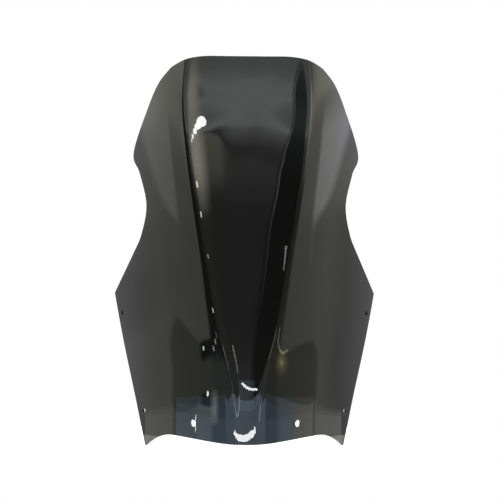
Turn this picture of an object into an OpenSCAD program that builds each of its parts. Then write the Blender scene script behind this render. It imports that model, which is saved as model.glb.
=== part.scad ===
// Motorcycle windshield screen: one thermoformed sheet of dark smoked acrylic.
// Two swept wings rise to soft crests, a channel runs down between them, and six plain holes take
// the screws of the fairing. Seen from the front (outer) side, which faces -Y. The rider is at +Y.
// The origin is the middle of the lower edge, on the outer face.

/* [Sheet] */
// Thickness of the sheet
sheet_t = 4; // [3:0.5:4.5]
// Height of the top edge above the middle of the lower edge
screen_h = 526; // [518:1:534]

/* [Outline] */
// Half width at the pointed feet of the lower edge
foot_half = 140.5; // [136:0.5:145]
// How far the feet reach below the middle of the lower edge
foot_drop = 16; // [10:1:20]
// Half width at the side corners, the widest place
corner_half = 188.5; // [184:0.5:193]
// Height of the side corners
corner_h = 198; // [192:1:204]
// Half width at the waist
waist_half = 137.5; // [132:0.5:143]
// Height of the waist
waist_h = 322; // [317:1:327]
// Half width at the wing tips
wing_half = 158; // [152:1:164]
// Height of the wing tips
wing_h = 396; // [390:1:402]
// Half width of the level part of the top edge
top_half = 45; // [40:1:50]
// Rise of the two arches above the middle of the lower edge
arch_rise = 6; // [2:0.5:10]
// Distance of an arch's crown from the middle
arch_at = 99; // [94:1:104]

/* [Curves] */
// Radius of the wrap round the nose at the foot
foot_wrap_r = 102; // [98:1:110]
// Radius of the wrap round the nose at the top
top_wrap_r = 118; // [112:1:126]
// How far the channel leans back from foot to top
channel_lean = 40; // [32:1:46]
// How far the foot of the nose flares forward
foot_flare = 1.5; // [0:0.5:3]
// Height of that flare
flare_h = 70; // [60:1:85]

/* [Channel] */
// Half width of the channel at the top edge, crest to middle
channel_top_half = 83; // [80:0.5:87]
// Greatest half width of the channel
channel_wide_half = 85.5; // [83:0.5:88]
// Half width of the channel at the waist
channel_waist_half = 67.5; // [64:0.5:70]
// Half width of the channel where its crests run out
channel_neck_half = 33; // [30:0.5:36]
// Depth of the channel at the top edge
channel_top_depth = 8.5; // [6:0.5:11]
// Greatest depth of the channel
channel_depth = 12; // [9:0.5:15]
// How square the channel's section is
channel_power = 4; // [3.5:0.1:5]
// Radius over the crests on the outer face
crest_r = 9; // [7:0.5:12]
// Radius over the crests where they run out
crest_end_r = 30; // [24:1:36]

/* [Holes] */
// Diameter of the two holes beside the nose
nose_hole_d = 10; // [8:0.1:11]
// Distance of the nose holes from the middle
nose_hole_x = 71.5; // [67:0.5:76]
// Height of the nose holes
nose_hole_h = 25.5; // [23:0.5:31]
// Diameter of the four side holes
side_hole_d = 8.5; // [6:0.1:9]
// Distance of the lower side holes from the middle
low_hole_x = 143; // [139:0.5:144]
// Height of the lower side holes
low_hole_h = 32.5; // [30:0.5:43]
// Distance of the upper side holes from the middle
high_hole_x = 175; // [170:0.5:176]
// Height of the upper side holes
high_hole_h = 170; // [165:0.5:174]

/* [Hidden] */

// Facets of the sheet: rows below and above the side corners, columns in half a channel and a wing
rows_low = 17;
rows_high = 31;
columns_channel = 12;
columns_wing = 10;
rows = rows_low + rows_high;
columns = columns_channel + columns_wing;
// Step for slopes taken by difference
slope_step = 0.05;

// The curve through stations [place, value], with smooth slopes between them
function station_slope(s, i) =
    i == 0 ? (s[1][1] - s[0][1]) / (s[1][0] - s[0][0])
    : i == len(s) - 1 ? (s[i][1] - s[i - 1][1]) / (s[i][0] - s[i - 1][0])
    : (s[i + 1][1] - s[i - 1][1]) / (s[i + 1][0] - s[i - 1][0]);
function station_span(s, at, i = 0) = i == len(s) - 2 || at < s[i + 1][0] ? i : station_span(s, at, i + 1);
function hermite(a, b, slope_a, slope_b, width, f) =
    a * (1 + 2 * f) * pow(1 - f, 2) + b * pow(f, 2) * (3 - 2 * f)
    + width * (slope_a * f * pow(1 - f, 2) - slope_b * pow(f, 2) * (1 - f));
function along(s, at) =
    let (i = station_span(s, at), width = s[i + 1][0] - s[i][0], f = (at - s[i][0]) / width)
    hermite(s[i][1], s[i + 1][1], station_slope(s, i), station_slope(s, i + 1), width, f);

// The channel's half width and depth by height
channel_half_at = [
    [-20, 10], [55, 12.5], [85, 17], [112, 24], [140, channel_neck_half], [185, 43.5], [235, 52],
    [waist_h, channel_waist_half], [wing_h, 79], [461, channel_wide_half], [screen_h, channel_top_half],
];
channel_depth_at = [
    [-20, 0.8], [40, 1.1], [60, 2], [85, 3.6], [120, 5], [165, channel_depth * 0.52],
    [215, channel_depth * 0.63], [265, channel_depth * 0.75], [waist_h, channel_depth * 0.87],
    [wing_h, channel_depth], [475, channel_depth * 0.94], [screen_h, channel_top_depth],
];
// The radius over the crests by height
crest_r_at = [
    [-20, crest_end_r], [40, crest_end_r - 6], [75, crest_r * 1.3], [115, crest_r * 1.12],
    [160, crest_r * 1.03], [240, crest_r * 1.04], [waist_h, crest_r], [wing_h, crest_r * 0.96],
    [screen_h + 1, crest_r],
];

function channel_half(z) = along(channel_half_at, z);
function channel_deep(z) = along(channel_depth_at, z);
function wrap_r(z) = foot_wrap_r + (top_wrap_r - foot_wrap_r) * z / screen_h;

// Side profile of the channel's middle: upright at the base with a slight flare at its foot, bulging
// forward above the base, and leaning back more and more towards the top
lean_at = [
    [-20, 0.031], [20, 0.043], [50, 0.018], [80, -0.086], [120, -0.249],
    [165, -0.312], [215, -0.286], [260, -0.216], [waist_h, -0.094], [wing_h, 0.27],
    [460, 0.643], [screen_h, 1.012],
];
function flare(z) = z < flare_h ? foot_flare * pow(1 - z / flare_h, 2) : 0;
function channel_middle(z) = channel_lean * along(lean_at, z) - flare(z);

// Depth of the outer face behind the nose. The wings and the channel are two curved sheets, and
// the face follows whichever lies further back, with a round crest where they cross.
function crest_place(z) = channel_middle(z) - channel_deep(z);
function wing_face(x, z) = crest_place(z) + (x * x - pow(channel_half(z), 2)) / (2 * wrap_r(z));
function channel_face(x, z) =
    crest_place(z) + channel_deep(z) * (1 - pow(abs(x) / channel_half(z), channel_power));
function crest_blend(z) =
    let (
        wing_slope = channel_half(z) / wrap_r(z),
        flank_slope = channel_power * channel_deep(z) / channel_half(z),
        mean = (wing_slope - flank_slope) / 2
    )
    along(crest_r_at, z) * pow(wing_slope + flank_slope, 2) / 2 / pow(1 + mean * mean, 1.5);
function raw_face(x, z) =
    let (w = wing_face(x, z), c = channel_face(x, z), k = crest_blend(z))
    (w + c) / 2 + sqrt(pow(w - c, 2) + k * k) / 2;
face_shift = -raw_face(0, 0);
function face(x, z) = raw_face(x, z) + face_shift;

function unit(v) = v / norm(v);
// Unit normal that points out of the outer face, forwards
function outward(x, z) =
    let (e = slope_step)
    unit([
        (face(x + e, z) - face(x - e, z)) / (2 * e),
        -1,
        (face(x, z + e) - face(x, z - e)) / (2 * e),
    ]);

// Side edge, seen from the front, as [half width, height] from the side corner up to the shoulder
shoulder = [105, screen_h - 16];
side_edge = [
    [corner_half, corner_h],
    [157, 256],
    [144.5, 283],
    [waist_half, waist_h],
    [148, 366],
    [wing_half, wing_h],
    [137, 457],
    [122, 490],
    shoulder,
];
function side_stations(axis) = [for (i = [0:len(side_edge) - 1]) [i, side_edge[i][axis]]];
side_half_at = side_stations(0);
side_height_at = side_stations(1);
// The straight side edge below the corner bows out by this much
low_edge_bow = 1.4;

function row_end(j) =
    j <= rows_low
    ? let (f = j / rows_low)
      [
          foot_half + (corner_half - foot_half) * f + 4 * low_edge_bow * f * (1 - f),
          (corner_h + foot_drop) * f - foot_drop,
      ]
    : let (t = (j - rows_low) / rows_high * (len(side_edge) - 1))
      [along(side_half_at, t), along(side_height_at, t)];

// Lower edge, above the feet: it rises from the nose to the arches, then drops to the feet
function lower_edge(x) =
    let (a = abs(x))
    a < arch_at
    ? foot_drop + arch_rise * (1 - cos(180 * a / arch_at)) / 2
    : (foot_drop + arch_rise) * (1 - pow((a - arch_at) / (foot_half - arch_at), 2));
// Height above the feet up to which the rows follow the lower edge's wave
wave_h = 110;
function wave(x, h) = h < wave_h && abs(x) < foot_half ? lower_edge(x) * pow(1 - h / wave_h, 2) : 0;

// The top rows bend down to the shoulders
shoulder_drop = screen_h - shoulder[1];
shoulder_from = 400;
function row_drop(z) =
    z < shoulder_from ? 0 : shoulder_drop * pow((z - shoulder_from) / (shoulder[1] - shoulder_from), 2);

// Place of a grid point, seen from the front. Columns crowd towards the crest.
function column_x(i, half, end) =
    i <= columns_channel
    ? half * (1 - pow(1 - i / columns_channel, 1.7))
    : half + (end - half) * pow((i - columns_channel) / columns_wing, 1.5);
function grid_point(i, j) =
    let (
        end = row_end(j),
        top = end[1] + row_drop(end[1]),
        x = column_x(abs(i), channel_half(min(top, screen_h)), end[0]),
        past = max(0, x - top_half) / (end[0] - top_half),
        z = top - row_drop(end[1]) * pow(past, 2.2) + wave(x, top + foot_drop)
    )
    [sign(i) * x, z];

outer = [for (j = [0:rows]) for (i = [-columns:columns])
    let (p = grid_point(i, j)) [p[0], face(p[0], p[1]), p[1]]];
inner = [for (j = [0:rows]) for (i = [-columns:columns])
    let (p = grid_point(i, j)) [p[0], face(p[0], p[1]), p[1]] - sheet_t * outward(p[0], p[1])];

across = 2 * columns + 1;
function at(i, j) = j * across + i;
back = len(outer);
function quad(a, b, c, d) = [[a, b, c], [a, c, d]];

outer_facets = [for (j = [0:rows - 1]) for (i = [0:across - 2])
    each quad(at(i, j), at(i, j + 1), at(i + 1, j + 1), at(i + 1, j))];
inner_facets = [for (j = [0:rows - 1]) for (i = [0:across - 2])
    each quad(back + at(i, j), back + at(i + 1, j), back + at(i + 1, j + 1), back + at(i, j + 1))];
level_rim = [for (i = [0:across - 2]) each concat(
    quad(at(i, 0), at(i + 1, 0), back + at(i + 1, 0), back + at(i, 0)),
    quad(at(i, rows), back + at(i, rows), back + at(i + 1, rows), at(i + 1, rows)))];
side_rim = [for (j = [0:rows - 1]) each concat(
    quad(at(0, j), back + at(0, j), back + at(0, j + 1), at(0, j + 1)),
    quad(at(across - 1, j), at(across - 1, j + 1), back + at(across - 1, j + 1), back + at(across - 1, j)))];

holes = [
    [nose_hole_x, nose_hole_h, nose_hole_d],
    [low_hole_x, low_hole_h, side_hole_d],
    [high_hole_x, high_hole_h, side_hole_d],
];
drill_l = 30;

// A drill square to the sheet at [x, height]
module drill(x, z, d) {
    n = outward(x, z);
    translate([x, face(x, z), z])
        rotate([0, acos(n[2]), atan2(n[1], n[0])])
            cylinder(d = d, h = drill_l, center = true, $fn = 48);
}

module screen() {
    color("#2b2c28", 0.85)
        difference() {
            polyhedron(
                points = concat(outer, inner),
                faces = concat(outer_facets, inner_facets, level_rim, side_rim),
                convexity = 6
            );
            for (h = holes)
                for (side = [-1, 1])
                    drill(side * h[0], h[1], h[2]);
        }
}

screen();
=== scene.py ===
import math

import bmesh
import bpy
import numpy as np
from mathutils import Matrix, Vector


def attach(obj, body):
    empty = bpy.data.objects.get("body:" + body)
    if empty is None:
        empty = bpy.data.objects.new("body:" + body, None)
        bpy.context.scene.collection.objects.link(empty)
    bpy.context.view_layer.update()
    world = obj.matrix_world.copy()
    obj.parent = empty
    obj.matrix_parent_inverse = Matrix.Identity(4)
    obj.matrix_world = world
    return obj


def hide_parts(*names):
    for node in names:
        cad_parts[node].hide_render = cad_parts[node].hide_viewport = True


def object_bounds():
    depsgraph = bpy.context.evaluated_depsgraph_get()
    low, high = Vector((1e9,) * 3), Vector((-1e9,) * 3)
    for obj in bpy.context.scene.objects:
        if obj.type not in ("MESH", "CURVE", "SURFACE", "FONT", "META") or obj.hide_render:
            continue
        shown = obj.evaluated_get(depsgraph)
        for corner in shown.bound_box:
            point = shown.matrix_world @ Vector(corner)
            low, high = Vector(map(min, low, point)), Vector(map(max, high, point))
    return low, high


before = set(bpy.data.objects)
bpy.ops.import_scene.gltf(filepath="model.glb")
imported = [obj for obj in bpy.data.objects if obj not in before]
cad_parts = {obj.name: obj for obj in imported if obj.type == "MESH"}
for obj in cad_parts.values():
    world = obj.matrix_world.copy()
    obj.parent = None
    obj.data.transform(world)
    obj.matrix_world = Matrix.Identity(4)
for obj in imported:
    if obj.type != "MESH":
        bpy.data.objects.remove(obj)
cad_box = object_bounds()

# Screen
# The real piece is one sheet of dark smoked acrylic, cut to its outline, warmed and drawn over a form, so the
# channel, the two crests and the wrapped wings are all one skin. It is drilled for six screws, and its edge is
# buffed.
mm = 0.001
sheet_t = 3.96
screen_h = 526.0
foot_half, foot_drop = 140.5, 16.0
side_bow = 5.6
corner_half, corner_h = 188.5, 198.0
waist_h, wing_h = 322.0, 396.0
shoulder = (105.0, 510.0)
side_edge = [
    (corner_half, corner_h), (157, 256), (144.5, 283), (137.5, waist_h),
    (148, 366), (158, wing_h), (137, 457), (122, 490), shoulder,
]
top_half, crown_from, crown_power = 45.0, 400.0, 2.2
arch_rise, arch_at, arch_fade = 6.0, 99.0, 110.0
wrap_foot, wrap_top = 102.0, 118.0
lean, flare, flare_h = 40.0, 1.5, 70.0
channel_power = 4
face_shift = 0.025
edge_round = 0.8


def along(stations, at):
    """The value at one place on a smooth curve through [place, value] stations, straight beyond its ends."""
    place = [s[0] for s in stations]
    value = [s[1] for s in stations]
    last = len(place) - 1
    slope = [
        (value[min(i + 1, last)] - value[max(i - 1, 0)]) / (place[min(i + 1, last)] - place[max(i - 1, 0)])
        for i in range(last + 1)
    ]
    if at <= place[0]:
        return value[0] + slope[0] * (at - place[0])
    if at >= place[last]:
        return value[last] + slope[last] * (at - place[last])
    i = max(k for k in range(last) if place[k] <= at)
    width = place[i + 1] - place[i]
    f = (at - place[i]) / width
    return (
        value[i] * (1 + 2 * f) * (1 - f) ** 2
        + value[i + 1] * f * f * (3 - 2 * f)
        + width * (slope[i] * f * (1 - f) ** 2 - slope[i + 1] * f * f * (1 - f))
    )


heights = np.arange(-120.0, 681.0)
blur_reach = 60


def faired(curve, blur):
    """A curve of height, softened over some millimetres as the warm sheet bridges its form."""
    values = np.array([curve(h) for h in heights])
    reach = np.arange(-blur_reach, blur_reach + 1)
    weight = np.exp(-0.5 * (reach / blur) ** 2)
    padded = np.pad(values, blur_reach, mode="reflect", reflect_type="odd")
    return np.convolve(padded, weight / weight.sum(), mode="valid")


channel_half = faired(lambda h: along([
    (-20, 10), (55, 12.5), (85, 17), (112, 24), (140, 33), (185, 43.5), (235, 52), (waist_h, 67.5),
    (wing_h, 79), (461, 85.5), (screen_h, 83)], h), 6)
channel_deep = faired(lambda h: along([
    (-20, 0.8), (40, 1.1), (60, 2), (85, 3.6), (120, 5), (165, 6.2), (215, 7.6), (265, 9), (waist_h, 10.4),
    (wing_h, 12), (475, 11.3), (screen_h, 8.5)], h), 6)
crest_r = faired(lambda h: along([
    (-20, 30), (40, 24), (75, 11.7), (115, 10.1), (160, 9.3), (240, 9.4), (waist_h, 9), (wing_h, 8.6),
    (screen_h + 1, 9)], h), 6)
channel_middle = faired(lambda h: lean * along([
    (-20, 0.031), (20, 0.043), (50, 0.018), (80, -0.086), (120, -0.249), (165, -0.312), (215, -0.286),
    (260, -0.216), (waist_h, -0.094), (wing_h, 0.27), (460, 0.643), (screen_h, 1.012)], h)
    - (flare * (1 - h / flare_h) ** 2 if h < flare_h else 0), 8)


def raw_face(x, z):
    """Depth of the outer face: the wings and the channel are two curved sheets with a round crest between."""
    half, deep, radius, middle = (
        np.interp(z, heights, curve) for curve in (channel_half, channel_deep, crest_r, channel_middle))
    wrap_r = wrap_foot + (wrap_top - wrap_foot) * z / screen_h
    crest = middle - deep
    wing = crest + (x * x - half * half) / (2 * wrap_r)
    channel = crest + deep * (1 - (abs(x) / half) ** channel_power)
    wing_slope, flank_slope = half / wrap_r, channel_power * deep / half
    mean = (wing_slope - flank_slope) / 2
    blend = radius * (wing_slope + flank_slope) ** 2 / 2 / (1 + mean * mean) ** 1.5
    return (wing + channel) / 2 + math.sqrt((wing - channel) ** 2 + blend * blend) / 2


nose = raw_face(0, 0) + face_shift


def on_face(x, z):
    return Vector((x, raw_face(x, z) - nose, z))


def outward(x, z):
    across = on_face(x + 0.5, z) - on_face(x - 0.5, z)
    up = on_face(x, z + 0.5) - on_face(x, z - 0.5)
    return across.cross(up).normalized()


# the side edge, as even steps up the straight lower side and then round the corner, waist, wing and shoulder
low_side = np.array([
    (foot_half + (corner_half - foot_half) * f + side_bow * f * (1 - f), (corner_h + foot_drop) * f - foot_drop)
    for f in np.linspace(0, 1, 60)])
steps = np.linspace(0, len(side_edge) - 1, 400)
high_side = np.array([
    (along(list(enumerate(s[0] for s in side_edge)), t), along(list(enumerate(s[1] for s in side_edge)), t))
    for t in steps])
corner_row = 0.375


def side_point(row):
    path = low_side if row <= corner_row else high_side
    f = row / corner_row if row <= corner_row else (row - corner_row) / (1 - corner_row)
    run = np.concatenate([[0], np.cumsum(np.hypot(*np.diff(path, axis=0).T))])
    return np.interp(f * run[-1], run, path[:, 0]), np.interp(f * run[-1], run, path[:, 1])


crest_column = 40 / 90


def sheet_point(column, row, end):
    """Where a point of the flat blank lies on the formed face. Columns crowd towards the crest."""
    drop = (screen_h - shoulder[1]) * max(0, (end[1] - crown_from) / (shoulder[1] - crown_from)) ** 2
    level = end[1] + drop
    half = np.interp(min(level, screen_h), heights, channel_half)
    c = abs(column)
    if c <= crest_column:
        x = half * (1 - (1 - c / crest_column) ** 1.5)
    else:
        f = (c - crest_column) / (1 - crest_column)
        x = half + (end[0] - half) * (f - 0.5 * math.sin(2 * math.pi * f) / (2 * math.pi))
    past = max(0, x - top_half) / (end[0] - top_half)
    z = level - drop * past ** crown_power
    above_feet = level + foot_drop
    if above_feet < arch_fade and x < foot_half:
        rise = (
            foot_drop + arch_rise * (1 - math.cos(math.pi * x / arch_at)) / 2 if x < arch_at
            else (foot_drop + arch_rise) * (1 - ((x - arch_at) / (foot_half - arch_at)) ** 2)
        )
        z += rise * (1 - above_feet / arch_fade) ** 2
    return on_face(math.copysign(x, column), z)


bm = bmesh.new()
bmesh.ops.create_grid(bm, x_segments=180, y_segments=216, size=1)
ends = {}
for v in bm.verts:
    row = round((v.co.y + 1) / 2, 6)
    if row not in ends:
        ends[row] = side_point(row)
    v.co = sheet_point(v.co.x, row, ends[row])

# holes, each by its place across and up and its diameter: a patch of the skin is taken out and bridged to a true
# circle that lies on the face
patch_margin, torn_margin = 2.2, 7.0
for hole_x, hole_z, hole_d in ((71.5, 25.5, 10.0), (143.0, 32.5, 8.5), (175.0, 170.0, 8.5)):
    for side in (-1, 1):
        middle = on_face(side * hole_x, hole_z)
        out = outward(side * hole_x, hole_z)
        patch = [f for f in bm.faces if (f.calc_center_median() - middle).length < hole_d / 2 + patch_margin]
        bmesh.ops.delete(bm, geom=patch, context="FACES")
        torn = [
            e for e in bm.edges
            if e.is_boundary and ((e.verts[0].co + e.verts[1].co) / 2 - middle).length < hole_d / 2 + torn_margin
        ]
        place = Matrix.Translation(middle) @ out.to_track_quat("Z", "Y").to_matrix().to_4x4()
        ring = bmesh.ops.create_circle(bm, segments=40, radius=hole_d / 2, matrix=place)["verts"]
        for v in ring:
            v.co = on_face(v.co.x, v.co.z)
        rim = list(dict.fromkeys(e for v in ring for e in v.link_edges))
        bmesh.ops.bridge_loops(bm, edges=torn + rim)

bmesh.ops.recalc_face_normals(bm, faces=bm.faces)
skin = set(bm.faces)
drawn = bmesh.ops.extrude_face_region(bm, geom=bm.faces[:])["geom"]
skin.update(g for g in drawn if isinstance(g, bmesh.types.BMFace))
for v in (g for g in drawn if isinstance(g, bmesh.types.BMVert)):
    v.co -= sheet_t * outward(v.co.x, v.co.z)
for f in bm.faces:
    f.material_index = 0 if f in skin else 1
bmesh.ops.recalc_face_normals(bm, faces=bm.faces)
bmesh.ops.scale(bm, vec=(mm, mm, mm), verts=bm.verts)
sharp = [e for e in bm.edges if len(e.link_faces) == 2 and e.calc_face_angle() > math.radians(50)]
bmesh.ops.bevel(
    bm, geom=sharp, offset=edge_round * mm, offset_type="OFFSET", segments=3, profile=0.5, affect="EDGES",
    clamp_overlap=True, material=-1)
for f in bm.faces:
    f.smooth = True
screen_mesh = bpy.data.meshes.new("screen_sheet")
bm.to_mesh(screen_mesh)
bm.free()
screen = bpy.data.objects.new("screen_sheet", screen_mesh)
bpy.context.scene.collection.objects.link(screen)
weighted = screen.modifiers.new("even_gloss", "WEIGHTED_NORMAL")
weighted.weight = 50


def linear(hex_colour):
    """An sRGB hex colour as linear light, with alpha."""
    parts = [int(hex_colour[i:i + 2], 16) / 255 for i in (1, 3, 5)]
    return (*[p / 12.92 if p <= 0.04045 else ((p + 0.055) / 1.055) ** 2.4 for p in parts], 1)


def add_node(tree, kind, inputs=None, stops=None, **settings):
    """Adds a node, sets it, and fills its inputs with values or links and its ramp, if any, with stops."""
    made = tree.nodes.new(kind)
    for name, value in settings.items():
        setattr(made, name, value)
    for name, value in (inputs or {}).items():
        if isinstance(value, bpy.types.NodeSocket):
            tree.links.new(value, made.inputs[name])
        else:
            made.inputs[name].default_value = value
    for i, (place, colour) in enumerate(stops or []):
        element = made.color_ramp.elements[0] if i == 0 else made.color_ramp.elements.new(place)
        element.position = place
        element.color = colour
    if stops:
        made.color_ramp.elements.remove(made.color_ramp.elements[-1])
    return made


# Smoked acrylic, drawn hot over a form: tinted right through, so near black, under a mirror gloss. The gloss
# carries a faint haze, hair scratches from wiping, and the slow swell of a sheet that was drawn and not moulded.
acrylic = bpy.data.materials.new("smoked_acrylic_formed")
acrylic.use_nodes = True
tree = acrylic.node_tree
tree.nodes.clear()
where = add_node(tree, "ShaderNodeTexCoord").outputs["Object"]
haze = add_node(tree, "ShaderNodeTexNoise", {"Vector": where, "Scale": 22.0, "Detail": 5.0})
# wiping scratches are some hundredths of a millimetre wide, drawn coarser so that they survive the sampling
brushed = add_node(tree, "ShaderNodeMapping", {
    "Vector": where, "Scale": (900.0, 900.0, 14.0), "Rotation": (0, 0.5, 0)})
scratch = add_node(tree, "ShaderNodeTexNoise", {"Vector": brushed.outputs[0], "Scale": 1.0, "Detail": 1.0})
fine = add_node(tree, "ShaderNodeMapRange", {
    "Value": scratch.outputs["Fac"], "From Min": 0.62, "From Max": 0.74, "To Min": 0.0, "To Max": 0.05})
soft = add_node(tree, "ShaderNodeMapRange", {
    "Value": haze.outputs["Fac"], "From Min": 0.35, "From Max": 0.7, "To Min": 0.02, "To Max": 0.05})
gloss = add_node(tree, "ShaderNodeMath", {0: fine.outputs["Result"], 1: soft.outputs["Result"]},
                 operation="ADD")
swell = add_node(tree, "ShaderNodeTexNoise", {"Vector": where, "Scale": 28.0, "Detail": 1.0})
drawn_face = add_node(tree, "ShaderNodeBump", {
    "Height": swell.outputs["Fac"], "Strength": 0.5, "Distance": 0.08 * mm})
tint = add_node(tree, "ShaderNodeMix", {0: haze.outputs["Fac"], 6: linear("#0c0c0b"), 7: linear("#0f100e")},
                data_type="RGBA").outputs[2]
shader = add_node(tree, "ShaderNodeBsdfPrincipled", {
    "Base Color": tint, "Roughness": gloss.outputs[0], "IOR": 1.49, "Transmission Weight": 1.0,
    "Normal": drawn_face.outputs["Normal"]})
add_node(tree, "ShaderNodeOutputMaterial", {"Surface": shader.outputs["BSDF"]})
screen_mesh.materials.append(acrylic)

# The cut edge, scraped and buffed: the same tint with the fine waves of the wheel left in it, so it takes a soft
# sheen.
edge = bpy.data.materials.new("smoked_acrylic_buffed_edge")
edge.use_nodes = True
tree = edge.node_tree
tree.nodes.clear()
where = add_node(tree, "ShaderNodeTexCoord").outputs["Object"]
wheel = add_node(tree, "ShaderNodeTexNoise", {"Vector": where, "Scale": 400.0, "Detail": 3.0})
rough = add_node(tree, "ShaderNodeMapRange", {
    "Value": wheel.outputs["Fac"], "From Min": 0.3, "From Max": 0.7, "To Min": 0.16, "To Max": 0.34})
tint = add_node(tree, "ShaderNodeMix", {0: wheel.outputs["Fac"], 6: linear("#141513"), 7: linear("#262723")},
                data_type="RGBA").outputs[2]
shader = add_node(tree, "ShaderNodeBsdfPrincipled", {
    "Base Color": tint, "Roughness": rough.outputs["Result"], "IOR": 1.49, "Transmission Weight": 0.6})
add_node(tree, "ShaderNodeOutputMaterial", {"Surface": shader.outputs["BSDF"]})
screen_mesh.materials.append(edge)

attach(screen, "root")
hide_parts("screen")

# Floor: a plain pale round board under the feet, which takes the shadow. It ends close in front of the sheet, so
# the sheet mirrors the dim studio beyond it.
board_r, board_back, board_gap = 0.24, 0.1, 0.0004
bm = bmesh.new()
bmesh.ops.create_circle(bm, cap_ends=True, segments=96, radius=board_r)
bmesh.ops.translate(bm, vec=(0, board_back, cad_box[0].z - board_gap), verts=bm.verts)
floor_mesh = bpy.data.meshes.new("floor")
bm.to_mesh(floor_mesh)
bm.free()
floor = bpy.data.objects.new("floor", floor_mesh)
bpy.context.scene.collection.objects.link(floor)
pale = bpy.data.materials.new("pale_board")
pale.use_nodes = True
tree = pale.node_tree
tree.nodes.clear()
board = add_node(tree, "ShaderNodeBsdfDiffuse", {"Color": linear("#e8e8e8")})
glow = add_node(tree, "ShaderNodeEmission", {"Color": (1, 1, 1, 1), "Strength": 0.72})
both = add_node(tree, "ShaderNodeAddShader", {0: board.outputs[0], 1: glow.outputs[0]})
add_node(tree, "ShaderNodeOutputMaterial", {"Surface": both.outputs[0]})
floor_mesh.materials.append(pale)

# Studio: pale walls to the left and right, a dim space in front, dark on the left, and a bright panel further up.
# The gloss mirrors it. The camera, and the light that comes through the sheet, see plain white.
brightest, ramp_reach = 4.0, 40.0
world = bpy.data.worlds.new("studio")
bpy.context.scene.world = world
world.use_nodes = True
tree = world.node_tree
tree.nodes.clear()
where = add_node(tree, "ShaderNodeTexCoord").outputs["Generated"]
way = add_node(tree, "ShaderNodeSeparateXYZ", {0: where}).outputs
ahead = add_node(tree, "ShaderNodeMath", {0: way["Y"], 1: -1.0}, operation="MULTIPLY").outputs[0]
turn = add_node(tree, "ShaderNodeMath", {0: way["X"], 1: ahead}, operation="ARCTAN2").outputs[0]
turn = add_node(tree, "ShaderNodeMath", {0: turn}, operation="DEGREES").outputs[0]
rise = add_node(tree, "ShaderNodeMath", {0: way["Z"]}, operation="ARCSINE").outputs[0]
rise = add_node(tree, "ShaderNodeMath", {0: rise}, operation="DEGREES").outputs[0]
aside = add_node(tree, "ShaderNodeMath", {0: turn}, operation="ABSOLUTE").outputs[0]
# the lower end of the front panel rises to the right, first fast and then slowly
lift = add_node(tree, "ShaderNodeMapRange", {"Value": turn, "From Min": 8, "From Max": 22},
                interpolation_type="SMOOTHSTEP").outputs[0]
droop = add_node(tree, "ShaderNodeMath", {0: lift, 1: -1.6, 2: -3.0}, operation="MULTIPLY_ADD").outputs[0]
for value, start, full in ((turn, 0, 8), (rise, 33.9, 33.4)):
    part = add_node(tree, "ShaderNodeMapRange", {"Value": value, "From Min": start, "From Max": full},
                    interpolation_type="SMOOTHSTEP").outputs[0]
    droop = add_node(tree, "ShaderNodeMath", {0: part, 1: droop}, operation="MULTIPLY").outputs[0]
drooped = add_node(tree, "ShaderNodeMath", {0: droop, 1: rise}, operation="ADD").outputs[0]
height = add_node(tree, "ShaderNodeMapRange", {
    "Value": drooped, "From Min": -ramp_reach, "From Max": ramp_reach}).outputs[0]
# the dark space on the left leans away from the middle higher up
leaning = turn
for start, full, most in ((0, 40, 12.0), (29, 40, 19.8)):
    part = add_node(tree, "ShaderNodeMapRange", {
        "Value": rise, "From Min": start, "From Max": full, "To Min": 0.0, "To Max": most}).outputs[0]
    leaning = add_node(tree, "ShaderNodeMath", {0: leaning, 1: part}, operation="ADD").outputs[0]
inward = add_node(tree, "ShaderNodeMapRange", {
    "Value": aside, "From Min": 86.0, "From Max": 46.0, "To Min": 0.0, "To Max": 40.0}).outputs[0]
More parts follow.
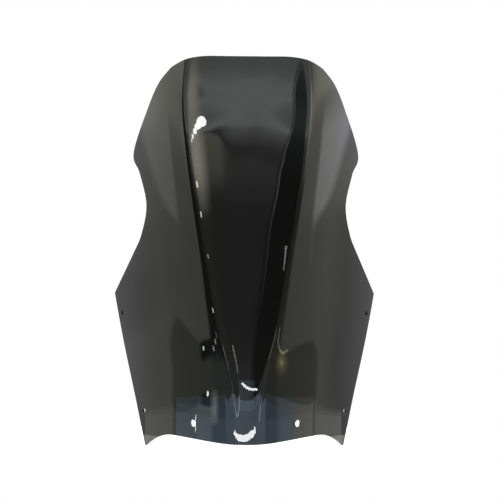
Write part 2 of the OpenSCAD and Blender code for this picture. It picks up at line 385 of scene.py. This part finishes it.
# each sector from left to right: the turn by which it starts, where it starts and is full, its tint, where its
# floor starts, how fast that falls towards the front and where it ends behind, and its brightness by degrees above
# the horizon
floor_rate = 0.45
sectors = [
    (None, None, None, (1, 1, 1), (-9.4, 0.47, 94),
     [(-20, 0.6), (-12, 0.75), (-8, 0.62), (-4, 0.62), (0, 0.95), (8, 1.0), (12, 1.1), (18, 1.9), (24, 2.0),
      (30, 1.8)]),
    (turn, -112, -92, (1, 1.02, 0.86), (-9.4, 0.47, 94),
     [(-12, 0.83), (-4, 0.8), (2, 0.95), (8, 0.94), (12, 1.02), (16, 1.3), (20, 1.8), (28, 1.75), (35, 2.2)]),
    (turn, -52, -45, (0.9, 1.1, 1.1), None,
     [(-35, 0.4), (-30, 0.36), (-27, 0.2), (-23, 0.05), (-8, 0.04), (4, 0.03), (27, 0.03), (30, 0.05), (33, 0.16),
      (36, 0.4)]),
    (leaning, -3, 2, (1, 1.04, 1.02), None,
     [(-35, 0.5), (-28, 0.35), (-20, 0.25), (-8, 0.2), (8, 0.18), (15, 0.2), (24, 0.31), (29, 0.42),
      (29.7, 0.28), (30.2, 0.3), (31.6, 0.67), (32.5, 0.93), (33.2, 1.25), (33.7, 2.0), (34, 2.2), (34.4, 1.45),
      (34.8, 1.25), (36, 1.15), (39, 1.0)]),
    (turn, 18, 38, (1, 1, 0.82), None,
     [(-30, 0.35), (-12, 0.28), (8, 0.25), (11, 0.45), (13, 0.9), (16, 1.4), (19, 1.9), (22, 2.9), (25, 4.0),
      (28, 4.0), (31, 4.0), (34, 3.4), (38, 2.0)]),
    (turn, 44, 54, (1, 1.02, 0.86), (-14.6, 0.36, 96),
     [(-16, 0.87), (-8, 0.94), (-4, 1.1), (0, 1.2), (8, 1.25), (13, 1.32), (17, 1.6), (20, 2.2), (24, 2.2),
      (28, 1.5), (35, 1.0)]),
    (turn, 92, 112, (1, 1, 1), (-14.6, 0.36, 96),
     [(-20, 0.5), (-12, 0.54), (-8, 0.56), (-4, 0.64), (0, 1.05), (4, 1.15), (8, 1.15), (12, 1.15), (16, 2.0),
      (20, 2.2), (28, 1.5)]),
]
room = None
for by, start, full, shade, below, levels in sectors:
    sector = add_node(tree, "ShaderNodeValToRGB", {"Fac": height}, stops=[
        ((e + ramp_reach) / (2 * ramp_reach), (*[level * c / brightest for c in shade], 1))
        for e, level in levels]).outputs["Color"]
    if below:
        floor_at, fall, behind = below
        line = add_node(tree, "ShaderNodeMath", {0: inward, 1: fall, 2: rise}, operation="MULTIPLY_ADD").outputs[0]
        line = add_node(tree, "ShaderNodeMath", {0: line, 1: -floor_at}, operation="ADD").outputs[0]
        past = add_node(tree, "ShaderNodeMath", {0: aside, 1: floor_rate, 2: -floor_rate * behind},
                        operation="MULTIPLY_ADD").outputs[0]
        line = add_node(tree, "ShaderNodeMath", {0: line, 1: past, 2: 14.0}, operation="SMOOTH_MAX").outputs[0]
        dark = add_node(tree, "ShaderNodeMapRange", {
            "Value": line, "From Min": -0.8, "From Max": 0.8, "To Min": 0.57, "To Max": 1.0},
            interpolation_type="SMOOTHSTEP").outputs[0]
        sector = add_node(tree, "ShaderNodeMix", {0: 1.0, 6: sector, 7: dark}, data_type="RGBA",
                          blend_type="MULTIPLY").outputs[2]
    if room is None:
        room = sector
        continue
    share = add_node(tree, "ShaderNodeMapRange", {"Value": by, "From Min": start, "From Max": full},
                     interpolation_type="SMOOTHSTEP").outputs[0]
    room = add_node(tree, "ShaderNodeMix", {0: share, 6: room, 7: sector}, data_type="RGBA").outputs[2]
# a brighter panel on each side wall, cut off along a slope, an olive glow below the front panel, a rim of light
# along the dark space, and a dark thing low on the left
slope = add_node(tree, "ShaderNodeMath", {0: aside, 1: -0.5, 2: rise}, operation="MULTIPLY_ADD").outputs[0]
brink = add_node(tree, "ShaderNodeMath", {0: rise, 1: -0.67, 2: aside}, operation="MULTIPLY_ADD").outputs[0]
for kind, colour, limits in (
    ("ADD", (0.14, 0.135, 0.155, 1), ((turn, -79, -84), (brink, 77, 80), (slope, -45, -41), (rise, 22, 14))),
    ("ADD", (0.34, 0.33, 0.375, 1), ((turn, 78, 84), (brink, 76, 80), (slope, -45, -41), (rise, 22, 14))),
    ("ADD", (0.19, 0.195, 0.14, 1), ((turn, 1, 8), (turn, 34, 22), (drooped, 30.3, 29.5), (rise, 22, 33))),
    ("ADD", (0.25, 0.26, 0.25, 1),
     ((leaning, -4.5, -3.2), (leaning, -1.4, -2.7), (rise, -6, 34), (rise, 37, 33))),
    ("MULTIPLY", (0.06, 0.09, 0.11, 1),
     ((turn, -66, -61), (turn, -40, -50), (rise, -18.5, -20.5), (rise, -28, -25))),
):
    share = 1.0
    for value, start, full in limits:
        part = add_node(tree, "ShaderNodeMapRange", {"Value": value, "From Min": start, "From Max": full},
                        interpolation_type="SMOOTHSTEP").outputs[0]
        share = add_node(tree, "ShaderNodeMath", {0: part, 1: share}, operation="MULTIPLY").outputs[0]
    room = add_node(tree, "ShaderNodeMix", {0: share, 6: room, 7: colour}, data_type="RGBA", blend_type=kind,
                    clamp_result=False).outputs[2]
path = add_node(tree, "ShaderNodeLightPath").outputs
plain = add_node(tree, "ShaderNodeMath", {0: path["Is Camera Ray"], 1: path["Is Transmission Ray"]},
                 operation="MAXIMUM").outputs[0]
shown = add_node(tree, "ShaderNodeMix", {0: plain, 6: room, 7: (*[1 / brightest] * 3, 1)},
                 data_type="RGBA").outputs[2]
back = add_node(tree, "ShaderNodeBackground", {"Color": shown, "Strength": brightest})
add_node(tree, "ShaderNodeOutputWorld", {"Surface": back.outputs[0]})

# Lamps: small ones close before the sheet draw the glints, lines and curved highlights on its gloss, and a long one
# far off, low on the right, draws the streaks at the foot of the channel. Low cool panels stand round the base.
cool, warm, white = "#d0e9fc", "#fff2a8", "#ffffff"
lamps = [
    # where it stands, what it faces, width, height, colour, brightness: first a hooked highlight up on the left
    ((-0.0477, -0.0143, 0.4555), (-0.0616, 0.0155, 0.4328), 0.005, 0.015, white, 22.0),
    ((-0.0497, -0.0155, 0.448), (-0.0675, 0.0121, 0.4256), 0.0035, 0.009, white, 22.0),
    ((-0.051, -0.0174, 0.441), (-0.0707, 0.0093, 0.4186), 0.003, 0.009, white, 20.0),
    ((-0.0531, -0.0199, 0.4335), (-0.0733, 0.0067, 0.4116), 0.0035, 0.008, white, 16.0),
    ((-0.0553, -0.0228, 0.4276), (-0.0745, 0.0048, 0.406), 0.004, 0.006, white, 10.0),
    # the long lamp far off, and a small panel before the foot of the channel
    ((0.72, -2.87, -0.85), (0, 0, 0.12), 0.2, 0.75, white, 3.0),
    ((0, -0.055, 0.047), (0, 0, 0.07), 0.012, 0.026, cool, 0.6),
    # a slash at the left nose hole and two sparks above it
    ((-0.133, -0.006, 0.014), (-0.071, 0.025, 0.025), 0.003, 0.018, white, 14.0),
    ((-0.105, -0.029, 0.034), (-0.053, 0.006, 0.064), 0.005, 0.005, white, 20.0),
    ((-0.1286, -0.0477, 0.0948), (-0.0568, -0.0056, 0.1289), 0.004, 0.01, white, 14.0),
]
# the panels round the base are soft-edged, each of three lamps, one a hair behind the other
panel_h = 0.004
layers = ((0, 0.05), (0.0005, 0.042), (0.001, 0.034))
lamps += [
    ((x - far * out_x, y - far * out_y, panel_h), (x + out_x, y + out_y, panel_h), wide, tall, colour,
     bright / len(layers))
    for x, y, out_x, out_y, wide, colour, bright in (
        (0.0995, -0.0358, -0.52, 0.85, 0.093, "#a3d2ff", 1.1),
        (-0.0995, -0.0358, 0.52, 0.85, 0.093, "#badcff", 1.4),
        (0.1615, 0.0137, -0.74, 0.67, 0.067, "#e8e8e6", 0.95),
        (-0.1615, 0.0137, 0.74, 0.67, 0.067, "#a4d3ff", 0.95),
        (0.173, 0.073, -0.98, -0.17, 0.06, white, 0.65),
        (-0.176, 0.077, 0.98, -0.19, 0.06, white, 0.45))
    for far, tall in layers
]
# the middle panel is cut to a gable, in upright strips
gable_y, gable_foot = -0.06, 0.02
lamps += [
    ((side * (near + far) / 2, gable_y, (top - gable_foot) / 2), (side * (near + far) / 2, 0, (top - gable_foot) / 2),
     far - near, top + gable_foot, "#c6e0ff", 1.75)
    for near, far, top in ((0, 0.02, 0.037), (0.02, 0.032, 0.033), (0.032, 0.045, 0.029), (0.045, 0.06, 0.026))
    for side in (-1, 1)
]
# a warm and a pale round lamp near the crests' lower ends, soft-edged in the same way
hair = 0.008
lamps += [
    (Vector(stand) - hair * k * (Vector(face) - Vector(stand)), face, across, across, colour, bright)
    for stand, face, colour, discs in (
        ((0.0967, -0.0427, 0.0778), (0.0468, -0.0063, 0.1107), warm,
         ((0.042, 0.2), (0.033, 0.25), (0.024, 0.4), (0.015, 0.7), (0.008, 1.2))),
        ((-0.0825, -0.0336, 0.0286), (-0.0419, 0.0061, 0.0479), white,
         ((0.026, 0.4), (0.019, 0.5), (0.012, 0.6), (0.007, 0.5))))
    for k, (across, bright) in enumerate(discs)
]
# a curved tube close before the lower edge and a shorter one above it, each a row of small lamps in millimetres
lamps += [
    ((x * mm, y * mm, z * mm), (x * mm, 0, z * mm), wide * mm, high * mm, white, 20.0)
    for y, tube in (
        (-20, (
            (-13.6, 16.4, 3, 4), (-15, 13.6, 7, 5), (-10.6, 11.4, 6.5, 7), (-7.2, 9.6, 4.5, 8), (-5.4, 8.2, 2.6, 8.6),
            (-4.6, 7.5, 2.2, 8.8), (-3.5, 7.2, 3, 8.8), (-1.5, 7.4, 4, 9), (0.7, 7.7, 4.2, 9.2), (2.9, 8.6, 4, 9.4),
            (4.6, 10, 3, 9.4), (5.6, 11.9, 2, 9.2), (6.6, 14.1, 2.2, 8.6), (9, 16.6, 5, 7.5), (8.2, 20.2, 2.6, 4.5))),
        (-15, (
            (-3.9, 76.2, 3, 4), (-1.6, 73.5, 4, 4.5), (1.5, 70.8, 4.5, 4.5), (4.6, 69.2, 4, 4), (6.8, 68.3, 3, 3.5))))
    for x, z, wide, high in tube
]
# a line on the right crest that hooks outwards at its lower end, as a chain of beads
beads, bead_d = 5, 0.0052
hook = (
    (0.084, -0.066, 0.138), (0.0845, -0.065, 0.117), (0.0925, -0.054, 0.0986),
    (0.101, -0.046, 0.093), (0.111, -0.036, 0.102),
)
lamps += [
    (tuple(a + (b - a) * step / beads for a, b in zip(here, there)), (0.044, -0.011, 0.132), bead_d, bead_d,
     warm, 1.7)
    for here, there in zip(hook, hook[1:])
    for step in range(beads)
]
# glints on the crests
lamps += [
    ((-0.057, -0.051, 0.136), (-0.041, -0.016, 0.148), 0.008, 0.012, white, 1.2),
    ((-0.064, -0.044, 0.1246), (-0.041, -0.014, 0.139), 0.005, 0.01, white, 3.5),
    ((-0.0695, -0.0385, 0.113), (-0.043, -0.012, 0.129), 0.005, 0.01, white, 2.8),
    ((-0.0468, -0.0369, 0.364), (-0.0665, -0.0071, 0.3463), 0.006, 0.011, white, 12.0),
    ((-0.0417, -0.0458, 0.3169), (-0.061, -0.0124, 0.3063), 0.006, 0.011, white, 12.0),
    ((-0.0314, -0.049, 0.2582), (-0.0513, -0.015, 0.2509), 0.005, 0.007, white, 6.0),
    ((-0.051, -0.0565, 0.1762), (-0.0443, -0.0175, 0.1799), 0.012, 0.009, white, 10.0),
    ((0.0305, -0.0489, 0.2562), (0.0503, -0.015, 0.2488), 0.004, 0.034, white, 3.6),
]
# round and small lamps are ellipses, the panels and strips are square-cut
small = 0.02
for i, (stand, face, wide, high, colour, bright) in enumerate(lamps):
    light = bpy.data.lights.new(f"lamp_{i}", "AREA")
    light.shape = "ELLIPSE" if wide == high or max(wide, high) < small else "RECTANGLE"
    light.size, light.size_y = wide, high
    light.color = linear(colour)[:3]
    light.energy = math.pi * wide * high * bright * (math.pi / 4 if light.shape == "ELLIPSE" else 1)
    lamp = bpy.data.objects.new(f"lamp_{i}", light)
    beam = Vector(face) - Vector(stand)
    lamp.matrix_world = Matrix.Translation(stand) @ beam.to_track_quat("-Z", "Y").to_matrix().to_4x4()
    lamp.visible_camera = False
    lamp.visible_transmission = False
    bpy.context.scene.collection.objects.link(lamp)

# Camera: 1.5 m in front, at the height of the sheet's middle, a degree to one side. It is turned and rolled a little,
# because the sheet does not stand quite square in the photograph's frame.
distance, px_per_mm, image_px, sensor = 1500, 0.735, 500, 36
off_side, off_up = 5.0, 1.03
aim = Vector((0, 30, 259.1)) * mm
yaw, pitch, roll = math.radians(1.1), math.radians(-0.42), math.radians(0.29)
sight = Vector((math.sin(yaw) * math.cos(pitch), math.cos(yaw) * math.cos(pitch), -math.sin(pitch)))
right = Vector((math.cos(yaw), -math.sin(yaw), 0))
eye = aim - distance * mm * sight
look = aim + right * off_side * mm + Vector((0, 0, off_up * mm)) - eye
lens = bpy.data.cameras.new("camera")
lens.sensor_width = sensor
lens.lens = sensor * px_per_mm * distance / image_px
camera = bpy.data.objects.new("camera", lens)
camera.matrix_world = (
    Matrix.Translation(eye) @ look.to_track_quat("-Z", "Y").to_matrix().to_4x4()
    @ Matrix.Rotation(roll, 4, "Z"))
bpy.context.scene.collection.objects.link(camera)
bpy.context.scene.camera = camera
bpy.context.scene.view_settings.view_transform = "Standard"
